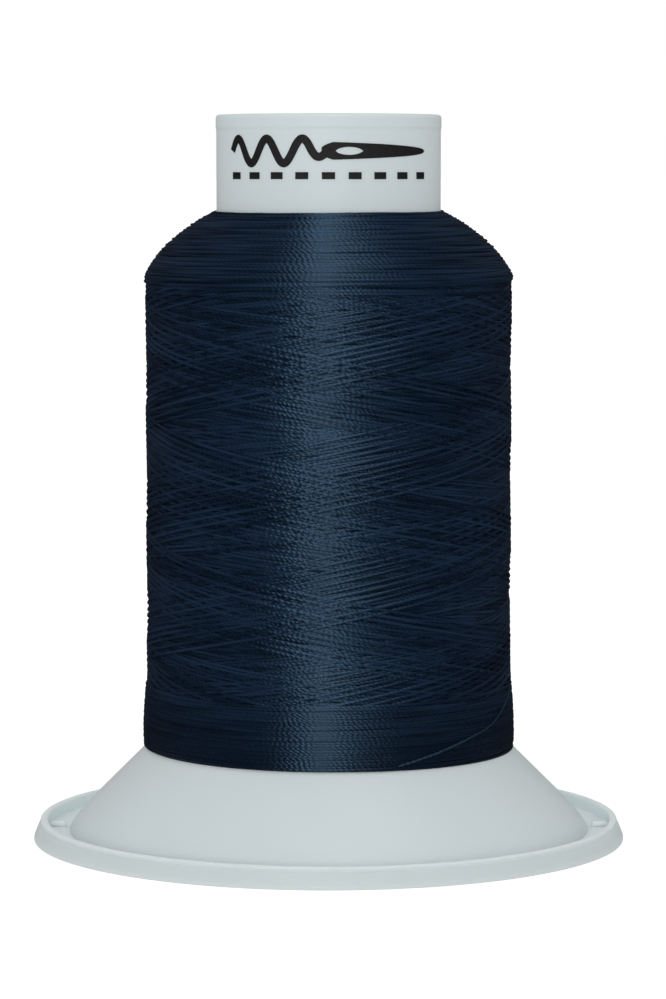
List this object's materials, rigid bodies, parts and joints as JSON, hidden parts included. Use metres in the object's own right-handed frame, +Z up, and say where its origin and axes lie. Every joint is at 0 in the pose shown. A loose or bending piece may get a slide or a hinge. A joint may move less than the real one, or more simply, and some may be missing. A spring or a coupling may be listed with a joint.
{
  "type": "footed spool of machine embroidery thread",
  "caption": "Footed spool of navy embroidery thread: cross-wound package on a straight pale plastic barrel, hollow conical foot and snap-open base ring that locks the thread end.",
  "frame": {"origin": "on the spool's axis, on the surface that the base ring stands on", "axes": "+Z up along the spool's axis, -Y towards the side with the printed mark and the tucked thread end"},
  "size_m": [0.0622, 0.0622, 0.0759],
  "materials": {
    "spool_plastic": "moulded polypropylene, pale cool grey, satin",
    "base_plastic": "moulded polypropylene, pale cool grey, satin",
    "label_paper": "coated paper, white",
    "thread": "glossy twisted polyester thread, dark navy"
  },
  "bodies": {
    "base": {"base_ring": "base_plastic", "base_label": "label_paper"},
    "spool": {"barrel": "spool_plastic", "conical_foot": "spool_plastic", "thread_package": "thread", "thread_end": "thread"}
  },
  "joints": [
    {"name": "base_snap", "type": "slide", "parent": "base", "child": "spool", "axis": [0, 0, 1], "range_m": [0, 0.0025]}
  ]
}
